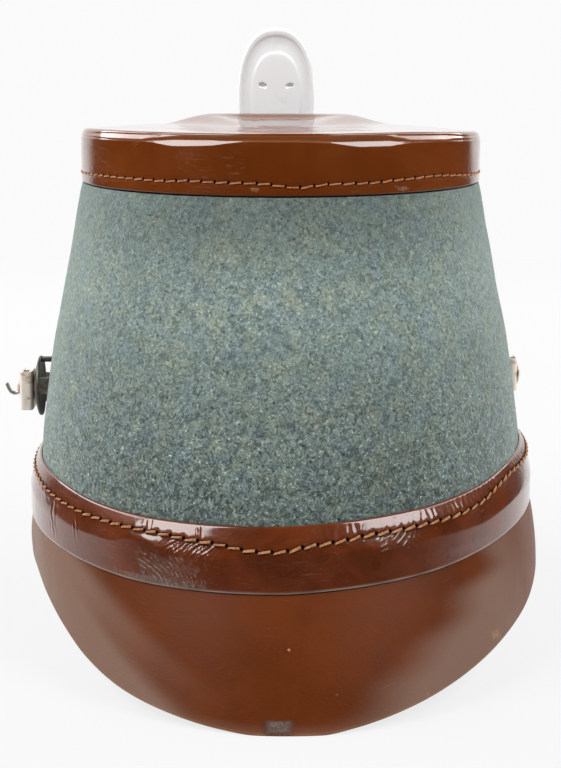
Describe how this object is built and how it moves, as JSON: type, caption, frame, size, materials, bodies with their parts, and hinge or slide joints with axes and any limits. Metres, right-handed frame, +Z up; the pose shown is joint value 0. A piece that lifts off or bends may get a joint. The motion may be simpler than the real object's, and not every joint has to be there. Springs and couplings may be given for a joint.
{
  "type": "shako hat",
  "caption": "Military shako hat: tapered felt crown with leather top, band, front and back peaks, oval badge, and a chin strap worn up round the front.",
  "frame": {"origin": "on the surface the hat stands on, under the middle of the hat's box", "axes": "+X towards the wearer's left, +Y towards the back of the head and the longest way, +Z up"},
  "size_m": [0.1986, 0.263, 0.2185],
  "materials": {
    "crown_felt": "grey-green heathered wool felt, matt",
    "top_leather": "lacquered brown leather, glossy, stitched",
    "band_leather": "lacquered dark reddish brown leather, glossy, scuffed",
    "peak_leather": "brown leather, satin, fine scratches",
    "strap_leather": "brown strap leather, satin",
    "badge_metal": "pale grey painted metal, satin",
    "dark_metal": "dark painted metal, worn rim",
    "pale_brass": "pale brass, dulled"
  },
  "bodies": {
    "root": {"crown": "crown_felt", "top_cap": "top_leather", "head_band": "band_leather", "back_peak": "peak_leather", "front_peak": "peak_leather", "oval_badge": "badge_metal", "side_disc": "dark_metal", "left_post": "pale_brass", "right_post": "pale_brass", "left_lug": "pale_brass", "right_lug": "pale_brass", "chin_strap": "strap_leather"}
  },
  "joints": []
}
